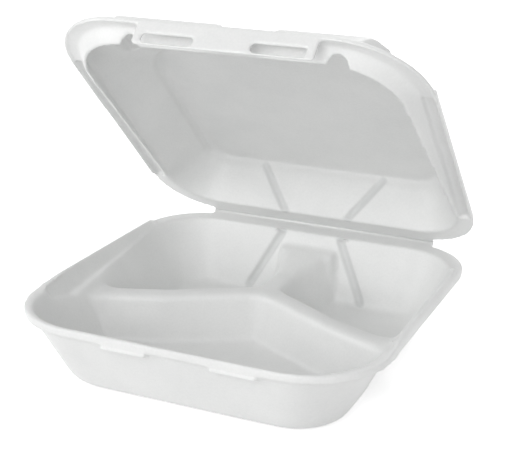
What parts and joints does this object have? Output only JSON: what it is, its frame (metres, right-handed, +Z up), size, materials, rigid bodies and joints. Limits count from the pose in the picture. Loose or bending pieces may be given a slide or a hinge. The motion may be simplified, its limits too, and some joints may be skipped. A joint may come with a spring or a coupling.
{
  "type": "hinged foam food container",
  "caption": "White foam clamshell food container, lid open: divided tray with a Y-shaped ridge, rolled rim, front lugs, and a domed lid with a slotted locking skirt.",
  "frame": {"origin": "middle of the flat foot that the tray stands on, at the foot's level", "axes": "+X to the right along the hinge as seen from the front, +Y to the back where the hinge is, +Z up"},
  "size_m": [0.228, 0.2362, 0.2092],
  "materials": {
    "foam_tray": "soft satin skin of white expanded polystyrene",
    "foam_lid": "soft satin skin of white expanded polystyrene"
  },
  "bodies": {
    "tray": {"base_tray": "foam_tray"},
    "cover": {"lid": "foam_lid"}
  },
  "joints": [
    {"name": "lid_hinge", "type": "hinge", "parent": "tray", "child": "cover", "pos_m": [0, 0.117, 0.04565], "axis": [-1, 0, 0], "range_deg": [-44.5, 135.5]}
  ]
}
